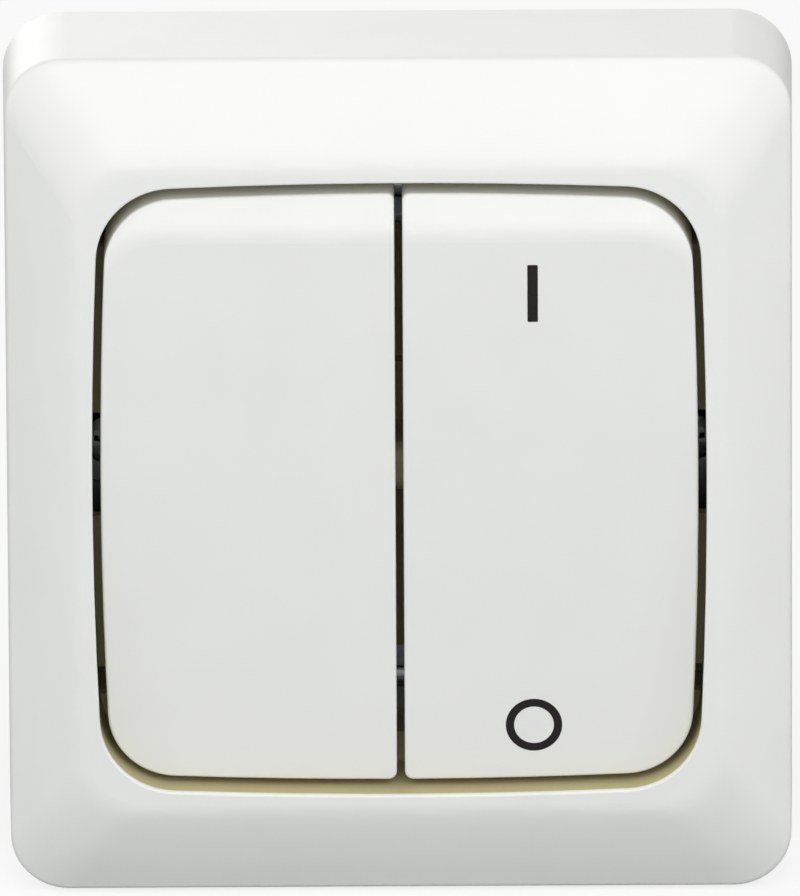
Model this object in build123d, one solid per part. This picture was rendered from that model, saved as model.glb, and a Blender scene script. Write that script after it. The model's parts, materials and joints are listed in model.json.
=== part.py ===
from build123d import *
from math import cos, radians, sin
import os

# Two-gang wall switch for a flush wall box. Sizes are in millimetres and angles in degrees.
# The wall is the plane y = 0. The room is on the -Y side, +X is to the right and +Z is up.
# A height is a distance in front of the wall, so it is -y, and a depth behind the wall is a negative height.

# Cover frame
back_width, back_height = 81.5, 91.7
front_width, front_height = 81.0, 91.2
back_corner = 6.2
front_corner = 6.0
side_depth = 14.3
slope_rise = 4.8
lip_width, lip_height = 65.5, 69.0
lip_corner = 6.0
slope_places = (1, 0.7, 0.4, 0.18, 0.09, 0)
soft_start = 0.18
straight_share = 0.8
cover_wall = 2.0
rim_fillet = 0.8
gusset_wall, gusset_low, gusset_high = 1.0, 4.0, 12.0
gusset_places = (-24, -8, 8, 24)
gusset_clear = 0.8

# Opening in the cover, whose thin lip covers the lining
opening_width, opening_height = 63.4, 67.2
opening_corner = 8.0
bow_radius = 600.0
lip_thickness = 0.6
lip_fillet = 0.25

# Rocker caps, in their middle position
side_gap = 0.85
end_gap = 1.05
seam = 0.83
cap_recess = 1.1
cap_depth = 7.5
cap_wall = 1.4
cap_face = 2.2
cap_edge = 0.3
bevel_height = 4.9
bevel_drop = 1.95
bevel_bend = 2.0
bevel_run_out = 6.0
bevel_corner = 6.3
seam_corner_top = 0.8
seam_corner_bottom = 0.9
rest_tilt = 3.0
rib_wall, rib_depth = 1.0, 2.0
stiffener_z, stiffener_x = 20.0, 22.5
leg_half_width, leg_wall, leg_reach = 4.0, 1.2, 1.1
barb_reach, barb_depth = 0.8, 1.0
post_notch_half, post_notch_depth = 4.2, 3.4

# Mechanism: each gang's centre, the cradle, the plunger and the contact lever
gang_x = 10.5
cradle_width, cradle_length = 15.4, 22.0
cradle_low, cradle_high = -1.3, 2.1
cradle_corner, cradle_floor, cradle_rim = 1.2, 1.2, 1.2
pocket_start = 7.4
trunnion_radius, trunnion_start, trunnion_end = 1.5, 0.7, 20.4
running_gap = 0.05
sleeve_radius, bore_radius = 3.2, 2.0
sleeve_end = -1.0
bore_over_pivot = 1.1
plunger_top = 3.0
plunger_chamfer = 0.3
nose_radius = 1.2
nose_round = 1.1
nose_gap = 0.2
spring_wire = 0.25
spring_sides = 8
spring_turns = 5
spring_gap = 0.2
spring_seat = 0.05
lever_pivot = -6.2
lever_width, lever_length = 5.0, 21.0
lever_corner = 1.0
lever_thickness = 1.2
lever_offset = 0.6
lever_tilt = 8.0
knife_radius = 0.8
groove_gap = 0.3
contact_z = 9.5
contact_radius = 1.5
contact_chamfer = 0.4
moving_contact = 0.9
fixed_contact_gap = 0.15
fixed_contact_wider = 0.2
fixed_contact_height = 0.8

# Support plate and the slots for the box screws
plate_width, plate_height = 70.8, 74.6
plate_thickness = 1.2
plate_chamfer = 9.0
cutout_width, cutout_height, cutout_corner = 40.0, 38.0, 2.0
slot_spacing = 60.0
slot_length, slot_width = 8.0, 3.6
claw_hole_x, claw_hole_z = 25.6, 13.5
claw_hole_width, claw_hole_height = 2.6, 6.0
bead_z, bead_length, bead_radius, bead_rise = 27.0, 38.0, 1.4, 0.7

# Housing and lid
housing_width, housing_height = 44.0, 46.0
housing_depth = 24.0
housing_wall, housing_floor = 1.5, 2.0
housing_corner = 3.0
housing_chamfer = 0.8
partition_wall = 1.2
pedestal_half = 1.5
pedestal_start, pedestal_end = 8.0, 11.0
outer_rib, outer_rib_rise, outer_rib_low = 1.0, 0.5, -20.0
side_rib_places = (-15, -9, 9, 15)
end_rib_places = (-19, -3, 3, 19)
lid_thickness = 1.5
screw_x, screw_z = 17.0, 20.6
screw_radius, screw_head_radius, screw_head = 1.1, 2.1, 1.5
screw_head_chamfer = 0.5
cross_half, cross_half_width, cross_depth = 1.4, 0.3, 0.9
screw_depth = 7.0
boss_radius = 2.3
post_half_width, post_half_length, post_over_pivot = 2.4, 2.6, 2.3
post_crown = 1.8
post_foot_length, post_foot_height = 18.0, 2.0
sleeve_window_half_width, sleeve_window_half_length = 4.2, 4.6

# Clip frame, with the lining round the caps and the hooks and beads that hold the cover
clip_top = 8.4
clip_inner_width, clip_inner_height = 57.0, 61.0
clip_outer_corner, clip_inner_corner = 7.0, 4.0
clip_wall = 1.3
lining_gap, lining_wall = 0.1, 1.1
window_inner_x, window_outer_x = 26.0, 33.6
window_bottom, window_top = -6.5, 4.9
side_notch_x = (27, 33)
side_notch_z = 24.6
side_notch = 3.0
side_notch_depth = 4.4
peg_x, peg_z = 32.0, 20.0
peg_radius = 1.4
peg_boss_radius = 2.6
hook_half_width = 4.0
side_hook_z = 16.0
hook_root, hook_low, hook_wall = 17.0, 10.8, 1.2
snap_gap = 0.15
bead_reach, bead_low, bead_thickness = 0.5, 12.3, 1.2

# Terminals
strip = 1.0
strip_half = 2.5
fixed_strip_start = 7.5
common_strip_low = -14.0
fixed_leg_z = 15.0
cage_side, cage_depth = 6.6, 6.0
cage_opening = 5.1
cage_top = 10.6
cage_play = 0.1
common_cage_drop = 0.6
wire_radius = 1.7
guide_wall, guide_gap = 1.2, 0.2
guide_bore = 10.0
funnel = 0.7
clamp_radius, clamp_head_radius = 1.5, 2.5
clamp_head = 1.8
clamp_slot_depth, clamp_slot_half = 0.9, 0.4
clamp_hole_gap = 0.3

# Places that follow from these sizes
lip_top = side_depth + slope_rise
rebate_top = lip_top - lip_thickness
rebate = lining_wall + 2 * lining_gap
lining_top = rebate_top - snap_gap
cap_front = lip_top - cap_recess
pivot_height = cap_front - cap_depth
cradle_top = pivot_height + cradle_high
bore_top = pivot_height + bore_over_pivot
cap_width = opening_width - 2 * side_gap
cap_height = opening_height - 2 * end_gap
lever_front = lever_pivot + lever_offset + lever_thickness
contact_back = (contact_z + contact_radius) * sin(radians(lever_tilt))
contact_back += (moving_contact - lever_offset) * cos(radians(lever_tilt))
fixed_contact_top = lever_pivot - contact_back - fixed_contact_gap
fixed_strip_low = fixed_contact_top - fixed_contact_height - strip
inner_floor = -housing_depth + housing_floor
lid_top = plate_thickness + lid_thickness
common_shift = (housing_height - housing_width) / 2
common_leg_x = fixed_leg_z - common_shift
fixed_wire_z = fixed_leg_z + strip + wire_radius
common_wire_x = common_leg_x + strip + wire_radius
fixed_clamp_height = -cage_top - cage_depth / 2
common_clamp_height = common_strip_low - common_cage_drop - cage_depth / 2


def at_height(height):
    """Drawing plane parallel to the wall, with local x and y along X and Z, facing the room."""
    return Plane.XZ.offset(height)


def slab(outline, low, high):
    """Outline drawn parallel to the wall, thickened from one height to another."""
    return extrude(at_height(low) * outline, amount=high - low)


def block(x, z, height):
    """Box between two values of x, of z and of height."""
    centre = Pos((x[0] + x[1]) / 2, -(height[0] + height[1]) / 2, (z[0] + z[1]) / 2)
    return centre * Box(x[1] - x[0], height[1] - height[0], z[1] - z[0])


def around(middle, half):
    """The two values at half on either side of a middle value."""
    return (middle - half, middle + half)


def towards(end, near, far):
    """The two values between near and far on the positive or the negative side, in rising order."""
    return sorted((end * near, end * far))


def bar(x, z, radius, low, high):
    """Round bar square to the wall."""
    return slab(Pos(x, z) * Circle(radius), low, high)


def bar_along_x(x0, x1, z, height, radius):
    """Round bar along X."""
    return extrude(Plane.YZ.offset(x0) * Pos(-height, z) * Circle(radius), amount=x1 - x0)


def bar_along_z(x, z0, z1, height, radius):
    """Round bar along Z."""
    return extrude(Plane.XY.offset(z0) * Pos(x, -height) * Circle(radius), amount=z1 - z0)


def both_sides(shape):
    """The shape and its mirror image on the other side of x = 0."""
    return shape + mirror(shape, about=Plane.YZ)


def above_and_below(shape):
    """The shape and its mirror image on the other side of z = 0."""
    return shape + mirror(shape, about=Plane.XY)


def bowed_outline(width, height, corner):
    """Rectangle whose four sides bulge outwards as shallow arcs, with round corners."""
    half_width, half_height = width / 2, height / 2
    x = half_width - half_height**2 / (2 * bow_radius)
    z = half_height - half_width**2 / (2 * bow_radius)
    sides = [
        ThreePointArc((-x, -z), (0, -half_height), (x, -z)),
        ThreePointArc((x, -z), (half_width, 0), (x, z)),
        ThreePointArc((x, z), (0, half_height), (-x, z)),
        ThreePointArc((-x, z), (-half_width, 0), (-x, -z)),
    ]
    face = make_face(Curve() + sides)
    return fillet(face.vertices(), corner)


def opening_outline(outset):
    """Outline of the cover's opening, moved outwards."""
    return bowed_outline(opening_width + 2 * outset, opening_height + 2 * outset, opening_corner + outset)


def bezel_drop(out):
    """How far the bezel has dropped, from 0 at the lip to slope_rise at the front edge.

    It leaves the lip in a soft bend, and then steepens towards the edge.
    """
    straight = out**2 / (2 * soft_start) if out < soft_start else out - soft_start / 2
    straight /= 1 - soft_start / 2
    return slope_rise * (straight_share * straight + (1 - straight_share) * out**2)


def bezel_sections(inset):
    """Rounded rectangles from the cover's front edge up to its lip.

    An inset gives the same slope for the inside of the wall.
    """
    sections = []
    for out in slope_places:
        width = lip_width + (front_width - lip_width) * out - 2 * inset
        height = lip_height + (front_height - lip_height) * out - 2 * inset
        corner = lip_corner + (front_corner - lip_corner) * out - inset / 2
        level = lip_top - bezel_drop(out) - inset
        sections.append(at_height(level) * RectangleRounded(width, height, corner))
    return sections


def hook(wall_half):
    """Profile of a cover hook beside a wall, as distance from the middle and height."""
    inner = wall_half + bead_reach + snap_gap
    barb = wall_half + snap_gap
    outline = Polyline(
        (inner, hook_root),
        (inner + hook_wall, hook_root),
        (inner + hook_wall, hook_low),
        (inner, hook_low),
        (barb, hook_low + bead_reach),
        (barb, bead_low - snap_gap),
        (inner, bead_low - snap_gap),
        close=True,
    )
    return make_face(outline)


def cover_frame():
    """Moulded cover: drafted side walls, convex bezel, thin lip round a bowed opening, gussets and hooks."""
    back = at_height(0) * RectangleRounded(back_width, back_height, back_corner)
    slope = bezel_sections(0)
    outside = loft([back, slope[0]], ruled=True) + loft(slope)
    rim = outside.edges().filter_by_position(Axis.Y, -side_depth - 0.01, -side_depth + 0.01)
    outside = fillet(rim, rim_fillet)

    inner_slope = bezel_sections(cover_wall)
    inner_back = at_height(0) * RectangleRounded(
        back_width - 2 * cover_wall, back_height - 2 * cover_wall, back_corner - cover_wall / 2
    )
    cavity = loft([inner_back, inner_slope[0]], ruled=True) + loft(inner_slope)
    opening = slab(opening_outline(0), -1, lip_top + 1) + slab(opening_outline(rebate), -1, rebate_top)
    frame = outside - cavity - opening
    edge = frame.edges().filter_by_position(Axis.Y, -lip_top - 0.01, -lip_top + 0.01)
    inner = [e for e in edge if abs(e.center().X) < opening_width / 2 + 0.1]
    inner = [e for e in inner if abs(e.center().Z) < opening_height / 2 + 0.1]
    frame = fillet(inner, lip_fillet)

    wall_x = (plate_width / 2 + gusset_clear, front_width / 2 - cover_wall / 2)
    wall_z = (plate_height / 2 + gusset_clear, front_height / 2 - cover_wall / 2)
    height = (gusset_low, gusset_high)
    for place in gusset_places:
        frame += both_sides(block(wall_x, around(place, gusset_wall / 2), height))
        frame += above_and_below(block(around(place, gusset_wall / 2), wall_z, height))

    lining = lining_gap + lining_wall
    side_start = Plane(origin=(0, 0, side_hook_z + hook_half_width), x_dir=(1, 0, 0), z_dir=(0, 0, -1))
    side_hook = extrude(side_start * hook(opening_width / 2 + lining), amount=2 * hook_half_width)
    end_start = Plane(origin=(-hook_half_width, 0, 0), x_dir=(0, 0, 1), z_dir=(1, 0, 0))
    end_hook = extrude(end_start * hook(opening_height / 2 + lining), amount=2 * hook_half_width)
    return frame + both_sides(above_and_below(side_hook)) + above_and_below(end_hook)


def clip_frame():
    """Light inner frame on the support plate: a hollow ring with screw windows and a lining round the caps."""
    ring = slab(RectangleRounded(plate_width, plate_height, clip_outer_corner), plate_thickness, clip_top)
    ring -= slab(RectangleRounded(clip_inner_width, clip_inner_height, clip_inner_corner), 0, clip_top + 1)
    channel = RectangleRounded(
        plate_width - 2 * clip_wall, plate_height - 2 * clip_wall, clip_outer_corner - clip_wall
    )
    channel -= RectangleRounded(
        clip_inner_width + 2 * clip_wall, clip_inner_height + 2 * clip_wall, clip_inner_corner + clip_wall
    )
    ring -= slab(channel, 0, clip_top - clip_wall)

    boss = bar(peg_x, peg_z, peg_boss_radius, plate_thickness, clip_top)
    boss += bar(peg_x, peg_z, peg_radius, 0, clip_top)
    ring += both_sides(above_and_below(boss))

    window = block((window_inner_x, window_outer_x), (window_bottom, window_top), (0, clip_top + 1))
    notch = block(side_notch_x, around(side_notch_z, side_notch / 2), (clip_top - side_notch_depth, clip_top + 1))
    ring -= both_sides(window) + both_sides(above_and_below(notch))

    lining = opening_outline(lining_gap + lining_wall) - opening_outline(lining_gap)
    ring += slab(lining, clip_top - clip_wall / 2, lining_top)
    reach = (lining_gap + lining_wall / 2, lining_gap + lining_wall + bead_reach)
    bead_height = (bead_low, bead_low + bead_thickness)
    side_bead_x = (opening_width / 2 + reach[0], opening_width / 2 + reach[1])
    end_bead_z = (opening_height / 2 + reach[0], opening_height / 2 + reach[1])
    side_bead = block(side_bead_x, around(side_hook_z, hook_half_width), bead_height)
    end_bead = block(around(0, hook_half_width), end_bead_z, bead_height)
    return ring + both_sides(above_and_below(side_bead)) + above_and_below(end_bead)


def support_plate():
    """Stamped steel plate: clipped corners, fixing slots, claw holes, stiffening beads and a large window."""
    outline = chamfer(Rectangle(plate_width, plate_height).vertices(), plate_chamfer)
    outline -= RectangleRounded(cutout_width, cutout_height, cutout_corner)
    for side in (-1, 1):
        outline -= Pos(side * slot_spacing / 2, 0) * SlotOverall(slot_length, slot_width)
        for end in (-1, 1):
            outline -= Pos(side * screw_x, end * screw_z) * Circle(screw_radius)
            outline -= Pos(side * peg_x, end * peg_z) * Circle(peg_radius)
            claw_hole = SlotOverall(claw_hole_height, claw_hole_width, rotation=90)
            outline -= Pos(side * claw_hole_x, end * claw_hole_z) * claw_hole
    plate = slab(outline, 0, plate_thickness)

    # each bead is pressed out of the sheet, so it stands up in front and leaves a groove behind
    depth = bead_radius - bead_rise
    raised = bar_along_x(-bead_length / 2, bead_length / 2, bead_z, plate_thickness - depth, bead_radius)
    raised &= block(around(0, bead_length), around(bead_z, bead_radius), (plate_thickness / 2, lid_top))
    groove = bar_along_x(-bead_length / 2, bead_length / 2, bead_z, -depth, bead_radius)
    return plate + above_and_below(raised) - above_and_below(groove)


def wire_guide(x, z, high):
    """Funnel that leads a wire from the housing's back to its clamp."""
    return bar(x, z, wire_radius + guide_wall, -housing_depth + 1, high)


def housing():
    """Moulded box behind the plate, with a wall between the gangs, pedestals and wire guides."""
    box = slab(RectangleRounded(housing_width, housing_height, housing_corner), -housing_depth, 0)
    box = chamfer(box.faces().sort_by(Axis.Y)[-1].edges(), housing_chamfer)
    inner = RectangleRounded(
        housing_width - 2 * housing_wall, housing_height - 2 * housing_wall, housing_corner - housing_wall
    )
    box -= slab(inner, inner_floor, 1)
    inner_z = housing_height / 2 - housing_wall / 2
    box += block(around(0, partition_wall / 2), (-inner_z, inner_z), (inner_floor - 1, 0))
    rib_x = (housing_width / 2 - housing_wall / 2, housing_width / 2 + outer_rib_rise)
    rib_z = (housing_height / 2 - housing_wall / 2, housing_height / 2 + outer_rib_rise)
    for place in side_rib_places:
        box += both_sides(block(rib_x, around(place, outer_rib / 2), (outer_rib_low, 0)))
    for place in end_rib_places:
        box += above_and_below(block(around(place, outer_rib / 2), rib_z, (outer_rib_low, 0)))
    for side in (-1, 1):
        for end in (-1, 1):
            box += bar(side * screw_x, end * screw_z, boss_radius, -screw_depth - 2, 0)
    for side in (-1, 1):
        x = around(side * gang_x, pedestal_half)
        box += block(x, around(0, pedestal_half), (inner_floor - 1, common_strip_low))
        box += wire_guide(side * common_wire_x, 0, common_clamp_height - cage_depth / 2 - guide_gap)
        box -= bar(side * common_wire_x, 0, wire_radius, -housing_depth - 1, -housing_depth + guide_bore)
        hole = bar_along_x(0, housing_wall + 2, 0, common_clamp_height, clamp_head_radius + clamp_hole_gap)
        box -= Pos(side * (housing_width / 2) - (housing_wall + 2) / 2, 0, 0) * hole
        for end in (-1, 1):
            z = towards(end, pedestal_start, pedestal_end)
            if side == 1 and end == 1:
                # the gang that only switches on and off has a bare stop here and no contact
                box += block(x, z, (inner_floor - 1, fixed_contact_top))
                continue
            box += block(x, z, (inner_floor - 1, fixed_strip_low))
            box += wire_guide(side * gang_x, end * fixed_wire_z, -cage_top - cage_depth - guide_gap)
            bore_end = -housing_depth + guide_bore
            box -= bar(side * gang_x, end * fixed_wire_z, wire_radius, -housing_depth - 1, bore_end)
            hole_radius = clamp_head_radius + clamp_hole_gap
            hole = bar_along_z(side * gang_x, 0, housing_wall + 2, fixed_clamp_height, hole_radius)
            box -= Pos(0, 0, end * (housing_height / 2) - (housing_wall + 2) / 2) * hole
    for side in (-1, 1):
        for end in (-1, 1):
            box -= bar(side * screw_x, end * screw_z, screw_radius, -screw_depth, 1)
    rims = box.faces().sort_by(Axis.Y)[-1].edges().filter_by(GeomType.CIRCLE)
    rims = [rim for rim in rims if rim.radius < wire_radius + 0.1]
    return chamfer(rims, funnel)


def housing_lid():
    """Front of the housing, over the plate's window, with three rows of bearing posts."""
    lid = slab(RectangleRounded(housing_width, housing_height, housing_corner), plate_thickness, lid_top)
    lid += slab(RectangleRounded(cutout_width, cutout_height, cutout_corner), 0, plate_thickness)
    post_top = pivot_height + post_over_pivot
    post_z = around(0, post_half_length)
    post_height = (lid_top - 0.5, post_top)
    outer_x = (gang_x + cradle_width / 2 + 0.4, housing_width / 2 - 1.2)
    lid += block(around(0, post_half_width), post_z, post_height)
    lid += both_sides(block(outer_x, post_z, post_height))
    foot_height = (lid_top - 0.5, lid_top + post_foot_height)
    lid += block(around(0, post_half_width), around(0, post_foot_length / 2), foot_height)
    crown = lid.edges().filter_by_position(Axis.Y, -post_top - 0.01, -post_top + 0.01).filter_by(Axis.X)
    lid = fillet(crown, post_crown)
    for side in (-1, 1):
        window_x = around(side * gang_x, sleeve_window_half_width)
        lid -= block(window_x, around(0, sleeve_window_half_length), (-1, lid_top + 1))
        for end in (-1, 1):
            lid -= bar(side * screw_x, end * screw_z, screw_radius, -1, lid_top + 1)
    lid -= bar_along_x(-housing_width, housing_width, 0, pivot_height, trunnion_radius + running_gap)
    return lid


def body_screws():
    """Four pan-head screws through lid, plate and housing, with a cross slot."""
    screws = Part()
    for side in (-1, 1):
        for end in (-1, 1):
            x, z = side * screw_x, end * screw_z
            top = lid_top + screw_head
            head = bar(x, z, screw_head_radius, lid_top, top)
            head = chamfer(head.edges().sort_by(Axis.Y)[0], screw_head_chamfer)
            cross_height = (top - cross_depth, top + 1)
            cross = block(around(x, cross_half), around(z, cross_half_width), cross_height)
            cross += block(around(x, cross_half_width), around(z, cross_half), cross_height)
            screws += head + bar(x, z, screw_radius, -screw_depth, lid_top) - cross
    return screws


def cap_outline(inset):
    """Outline of the right-hand cap: the bowed pair outline, cut at the seam."""
    pair = bowed_outline(cap_width - 2 * inset, cap_height - 2 * inset, opening_corner - side_gap - inset)
    seam_side = seam / 2 + inset
    half = Pos(seam_side + cap_width / 2, 0) * Rectangle(cap_width, 2 * cap_height)
    return pair & half


def bevel_section(grow, drop):
    """Boundary of the main face at the top and top outer corner, moved outwards and back."""
    right = cap_width / 2 + grow
    top = cap_height / 2 - bevel_height + grow
    left, bottom = -cap_width, -cap_height
    outline = Pos((left + right) / 2, (bottom + top) / 2) * Rectangle(right - left, top - bottom)
    corner = outline.vertices().sort_by(Axis.X)[-2:].sort_by(Axis.Y)[-1]
    return at_height(cap_front - drop) * fillet(corner, bevel_corner + grow)


def cap():
    """Right-hand rocker cap in its middle position: a hollow shell with clip legs and ribs."""
    outline = cap_outline(0)
    seam_corners = outline.vertices().sort_by(Axis.X)[:2].sort_by(Axis.Y)
    outline = fillet(seam_corners[0], seam_corner_bottom)
    top_corner = outline.vertices().group_by(Axis.Y)[-1].sort_by(Axis.X)[0]
    outline = fillet(top_corner, seam_corner_top)
    shell = slab(outline, pivot_height, cap_front)

    # the top bevel starts as a soft curve and runs out round the outer corner
    slope = bevel_drop / bevel_height
    bend = [
        bevel_section(0, 0),
        bevel_section(bevel_bend / 2, slope * bevel_bend / 8),
        bevel_section(bevel_bend, slope * bevel_bend / 2),
    ]
    far = bevel_height + bevel_run_out
    far_drop = slope * (far - bevel_bend / 2)
    kept = loft(bend) + loft([bend[-1], bevel_section(far, far_drop)], ruled=True)
    kept += slab(Rectangle(4 * cap_width, 4 * cap_height), -5, cap_front - far_drop)
    shell = shell & kept

    # the moulded edge round the face is slightly rounded
    boundary = outline.face().outer_wire()
    lowest = cap_front - bevel_drop - 1
    edges = shell.edges().filter_by(lambda e: -(e @ 0.5).Y > lowest and abs((e % 0.5).Y) < 0.9)
    edges = edges.filter_by(lambda e: boundary.distance_to(Vertex((e @ 0.5).X, (e @ 0.5).Z, 0)) < 0.02)
    shell = fillet(edges, cap_edge)

    ceiling = cap_front - cap_face
    shell -= slab(cap_outline(cap_wall), -5, ceiling)
    notch_height = (-5, pivot_height + post_notch_depth)
    shell -= block((0, cap_wall * 2), around(0, post_notch_half), notch_height)

    stiffener_height = (ceiling - rib_depth, ceiling + 0.5)
    shell += block((stiffener_x, stiffener_x + rib_wall), around(0, stiffener_z + rib_wall / 2), stiffener_height)
    for end in (-1, 1):
        foot_z = towards(end, 5.0, 5.0 + leg_wall)
        shell += block(around(gang_x, 6), foot_z, (cradle_top, ceiling + 0.5))
        cross_z = towards(end, stiffener_z, stiffener_z + rib_wall)
        shell += block((seam / 2 + 1, cap_width / 2 - 1), cross_z, stiffener_height)
        leg_start = cradle_length / 2 + 0.1
        leg_low = pivot_height + cradle_low - leg_reach
        leg_x = around(gang_x, leg_half_width)
        shell += block(leg_x, towards(end, leg_start, leg_start + leg_wall), (leg_low, ceiling + 0.5))
        barb_z = towards(end, leg_start - barb_reach, leg_start + 0.1)
        shell += block(leg_x, barb_z, (leg_low, leg_low + barb_depth))
    return shell


def cradle():
    """Right-hand carrier in its middle position: plate, trunnions and the plunger's sleeve."""
    low = pivot_height + cradle_low
    half_width, half_length = cradle_width / 2, cradle_length / 2
    body = block(around(gang_x, half_width), around(0, half_length), (low, cradle_top))
    body = fillet(body.edges().filter_by(Axis.Y), cradle_corner)
    for end in (-1, 1):
        pocket_z = towards(end, pocket_start, half_length - cradle_rim)
        body -= block(around(gang_x, half_width - cradle_rim), pocket_z, (low + cradle_floor, cradle_top + 1))
    body += bar_along_x(trunnion_start, trunnion_end, 0, pivot_height, trunnion_radius)
    body += bar(gang_x, 0, sleeve_radius, sleeve_end, cradle_top)
    body -= bar(gang_x, 0, bore_radius, sleeve_end - 1, bore_top)
    return body


def plunger():
    """Right-hand plunger in its middle position: a guided body with a round nose."""
    body = bar(gang_x, 0, bore_radius - running_gap, sleeve_end - 0.5, plunger_top)
    body = chamfer(body.faces().sort_by(Axis.Y)[0].edges(), plunger_chamfer)
    nose = bar(gang_x, 0, nose_radius, lever_front + nose_gap, sleeve_end)
    return body + fillet(nose.edges().sort_by(Axis.Y)[-1], nose_round)


def plunger_spring():
    """Right-hand coil spring between the sleeve's blind end and the plunger."""
    length = bore_top - plunger_top - 2 * (spring_wire + spring_seat)
    radius = bore_radius - spring_wire - spring_gap
    start = plunger_top + spring_wire + spring_seat
    line = Helix(pitch=length / spring_turns, height=length, radius=radius)
    section = Plane(origin=line @ 0, z_dir=line % 0) * RegularPolygon(spring_wire, spring_sides)
    coil = sweep(section, path=line, is_frenet=True)
    return Pos(gang_x, -start, 0) * Rot(90, 0, 0) * coil


def contact_lever():
    """Right-hand rocking bridge, level: a stamped strip with a bearing groove and two contacts."""
    x = around(gang_x, lever_width / 2)
    back = lever_pivot + lever_offset
    lever = block(x, around(0, lever_length / 2), (back, lever_front))
    lever = fillet(lever.edges().filter_by(Axis.Y), lever_corner)
    lever -= bar_along_x(x[0] - 1, x[1] + 1, 0, lever_pivot, knife_radius + groove_gap)
    for end in (-1, 1):
        contact = bar(gang_x, end * contact_z, contact_radius, back - moving_contact, back)
        lever += chamfer(contact.edges().sort_by(Axis.Y)[-1], contact_chamfer)
    return lever


def common_strip():
    """Right-hand common strip: a knife edge for the lever, a cross run and a leg for its clamp."""
    x = around(gang_x, lever_width / 2)
    run_high = common_strip_low + strip
    knife = block(x, around(0, knife_radius), (common_strip_low, lever_pivot))
    knife += bar_along_x(x[0], x[1], 0, lever_pivot, knife_radius)
    run = block((x[0], common_leg_x + strip), around(0, strip_half), (common_strip_low, run_high))
    leg_low = common_clamp_height - cage_depth / 2 - cage_play
    leg = block((common_leg_x, common_leg_x + strip), around(0, strip_half), (leg_low, run_high))
    return knife + run + leg


def fixed_contact():
    """Right-hand upper fixed contact: a bent strip with a contact button."""
    x = around(gang_x, strip_half)
    high = fixed_strip_low + strip
    piece = block(x, (fixed_strip_start, fixed_leg_z + strip), (fixed_strip_low, high))
    leg_low = fixed_clamp_height - cage_depth / 2 - cage_play
    piece += block(x, (fixed_leg_z, fixed_leg_z + strip), (leg_low, high))
    return piece + bar(gang_x, contact_z, contact_radius + fixed_contact_wider, high, fixed_contact_top)


def clamp_cage():
    """Square cage round a leg, drawn for the upper terminal at x = 0 and pulled towards +Z."""
    half = cage_side / 2
    wall = (cage_side - cage_opening) / 2
    low = fixed_leg_z - cage_play
    cage = block(around(0, half), (low - wall, low + cage_opening + wall), around(fixed_clamp_height, cage_depth / 2))
    cage -= block(around(0, half - wall), (low, low + cage_opening), around(fixed_clamp_height, cage_depth))
    return cage - bar_along_z(0, low + cage_opening / 2, housing_height, fixed_clamp_height, clamp_radius)


def clamp_screw():
    """Clamp screw drawn for the upper terminal at x = 0, with a slot in its head."""
    face = housing_height / 2
    tip = fixed_leg_z + cage_opening - 4 * cage_play
    screw = bar_along_z(0, tip, face - clamp_head, fixed_clamp_height, clamp_radius)
    screw += bar_along_z(0, face - clamp_head, face, fixed_clamp_height, clamp_head_radius)
    slot_z = (face - clamp_slot_depth, face + 1)
    return screw - block(around(0, clamp_head_radius + 1), slot_z, around(fixed_clamp_height, clamp_slot_half))


def at_terminals(shape):
    """Copies of a clamp piece at the three fixed contacts and, turned sideways, at the two commons."""
    lower = mirror(shape, about=Plane.XY)
    copies = Pos(-gang_x, 0, 0) * shape + Pos(-gang_x, 0, 0) * lower + Pos(gang_x, 0, 0) * lower
    deeper = fixed_clamp_height - common_clamp_height
    return copies + both_sides(Pos(-common_shift, deeper, 0) * Rot(0, 90, 0) * shape)


def seated(shape):
    """A rocker piece turned from its middle position to the rest pose, with its bottom pressed in."""
    return shape.rotate(Axis((0, -pivot_height, 0), (1, 0, 0)), rest_tilt)


def flipped(shape):
    """A lever turned from level to the rest pose, with its upper contact pushed back."""
    return shape.rotate(Axis((0, -lever_pivot, 0), (1, 0, 0)), -lever_tilt)


def left(shape):
    """The left-hand twin of a right-hand piece."""
    return mirror(shape, about=Plane.YZ)


nodes = {
    "cover_frame": cover_frame(),
    "clip_frame": clip_frame(),
    "support_plate": support_plate(),
    "housing": housing(),
    "housing_lid": housing_lid(),
    "body_screws": body_screws(),
    "left_upper_contact": left(fixed_contact()),
    "left_lower_contact": left(mirror(fixed_contact(), about=Plane.XY)),
    "right_lower_contact": mirror(fixed_contact(), about=Plane.XY),
    "terminal_cages": at_terminals(clamp_cage()),
    "terminal_screws": at_terminals(clamp_screw()),
}
for name, piece in (
    ("rocker", seated(cap())),
    ("cradle", seated(cradle())),
    ("plunger", seated(plunger())),
    ("plunger_spring", seated(plunger_spring())),
    ("contact_lever", flipped(contact_lever())),
    ("common_strip", common_strip()),
):
    nodes["right_" + name] = piece
    nodes["left_" + name] = left(piece)

os.makedirs("parts", exist_ok=True)
for name, piece in nodes.items():
    export_step(piece, f"parts/{name}.step")
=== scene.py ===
"""Finishes, printed marks, small metal parts, stage and camera for a two-gang wall switch.

Lengths are in metres, in the frame of the CAD model: the wall is the plane y = 0, the room is on the -Y
side, +X is to the right and +Z is up. Sizes given in millimetres are multiplied by MM.
"""

import json
import math

import bmesh
import bpy
from mathutils import Matrix, Vector


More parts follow.
